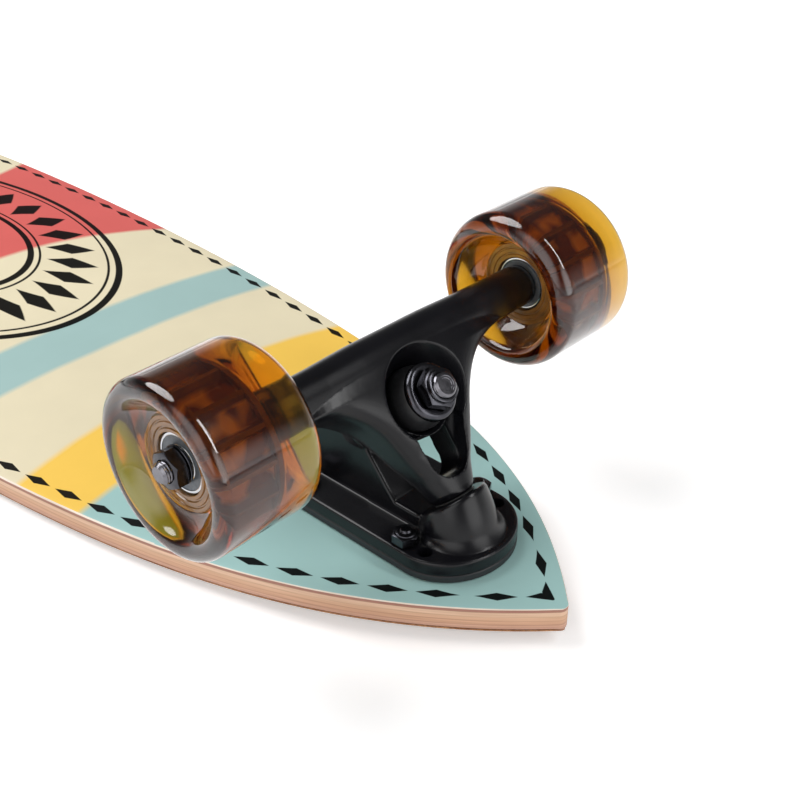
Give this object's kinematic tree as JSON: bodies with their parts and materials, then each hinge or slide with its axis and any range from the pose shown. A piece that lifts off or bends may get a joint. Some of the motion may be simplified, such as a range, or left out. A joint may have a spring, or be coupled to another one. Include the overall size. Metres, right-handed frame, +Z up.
{
  "type": "longboard skateboard",
  "caption": "Pintail longboard with a concave ply deck, sprung pivoting trucks with angled kingpins, and cored urethane wheels on shielded bearings.",
  "frame": {"origin": "on the floor under the middle of the board, which lies deck down with its wheels up", "axes": "+X along the board to the nose, +Y across it, +Z up, from the standing side through the deck to the wheels"},
  "size_m": [0.94, 0.22, 0.1192],
  "materials": {
    "maple_ply": "satin",
    "clear_grit": "matte",
    "riser_plastic": "matte",
    "black_paint": "satin",
    "bright_steel": "polished",
    "bearing_steel": "satin",
    "dark_steel": "satin",
    "black_urethane": "satin",
    "cup_urethane": "satin",
    "amber_urethane": "gloss",
    "core_plastic": "satin"
  },
  "bodies": {
    "board": {"deck": "maple_ply", "grip_tape": "clear_grit", "front_riser": "riser_plastic", "front_baseplate": "black_paint", "front_kingpin": "bright_steel", "front_kingpin_nut": "bright_steel", "front_boardside_bushing": "black_urethane", "front_roadside_bushing": "black_urethane", "front_boardside_washer": "bright_steel", "front_roadside_washer": "bright_steel", "front_pivot_cup": "cup_urethane", "front_bolt_1": "dark_steel", "front_bolt_2": "dark_steel", "front_bolt_3": "dark_steel", "front_bolt_4": "dark_steel", "rear_riser": "riser_plastic", "rear_baseplate": "black_paint", "rear_kingpin": "bright_steel", "rear_kingpin_nut": "bright_steel", "rear_boardside_bushing": "black_urethane", "rear_roadside_bushing": "black_urethane", "rear_boardside_washer": "bright_steel", "rear_roadside_washer": "bright_steel", "rear_pivot_cup": "cup_urethane", "rear_bolt_1": "dark_steel", "rear_bolt_2": "dark_steel", "rear_bolt_3": "dark_steel", "rear_bolt_4": "dark_steel"},
    "front_left_wheel": {"front_left_tyre": "amber_urethane", "front_left_core": "core_plastic", "front_left_inner_bearing": "bearing_steel", "front_left_outer_bearing": "bearing_steel"},
    "front_right_wheel": {"front_right_tyre": "amber_urethane", "front_right_core": "core_plastic", "front_right_inner_bearing": "bearing_steel", "front_right_outer_bearing": "bearing_steel"},
    "front_truck": {"front_hanger": "black_paint", "front_axle": "dark_steel", "front_left_spacer": "bright_steel", "front_left_speed_washer": "bright_steel", "front_left_axle_nut": "dark_steel", "front_right_spacer": "bright_steel", "front_right_speed_washer": "bright_steel", "front_right_axle_nut": "dark_steel"},
    "rear_left_wheel": {"rear_left_tyre": "amber_urethane", "rear_left_core": "core_plastic", "rear_left_inner_bearing": "bearing_steel", "rear_left_outer_bearing": "bearing_steel"},
    "rear_right_wheel": {"rear_right_tyre": "amber_urethane", "rear_right_core": "core_plastic", "rear_right_inner_bearing": "bearing_steel", "rear_right_outer_bearing": "bearing_steel"},
    "rear_truck": {"rear_hanger": "black_paint", "rear_axle": "dark_steel", "rear_left_spacer": "bright_steel", "rear_left_speed_washer": "bright_steel", "rear_left_axle_nut": "dark_steel", "rear_right_spacer": "bright_steel", "rear_right_speed_washer": "bright_steel", "rear_right_axle_nut": "dark_steel"}
  },
  "joints": [
    {"name": "front_lean", "type": "hinge", "parent": "board", "child": "front_truck", "pos_m": [0.39094, 0, 0.06752], "axis": [0.6428, 0, -0.766], "range_deg": [-20, 20], "stiffness_Nm_per_rad": 20, "deforming": ["front_boardside_bushing", "front_roadside_bushing"]},
    {"name": "front_left_spin", "type": "hinge", "parent": "front_truck", "child": "front_left_wheel", "pos_m": [0.3839, 0.0848, 0.0868], "axis": [0, 1, 0], "continuous": true},
    {"name": "front_right_spin", "type": "hinge", "parent": "front_truck", "child": "front_right_wheel", "pos_m": [0.3839, -0.0848, 0.0868], "axis": [0, 1, 0], "continuous": true},
    {"name": "rear_lean", "type": "hinge", "parent": "board", "child": "rear_truck", "pos_m": [-0.34704, 0, 0.06752], "axis": [-0.6428, 0, -0.766], "range_deg": [-20, 20], "stiffness_Nm_per_rad": 20, "deforming": ["rear_boardside_bushing", "rear_roadside_bushing"]},
    {"name": "rear_left_spin", "type": "hinge", "parent": "rear_truck", "child": "rear_left_wheel", "pos_m": [-0.34, 0.0848, 0.0868], "axis": [0, 1, 0], "continuous": true},
    {"name": "rear_right_spin", "type": "hinge", "parent": "rear_truck", "child": "rear_right_wheel", "pos_m": [-0.34, -0.0848, 0.0868], "axis": [0, 1, 0], "continuous": true}
  ]
}
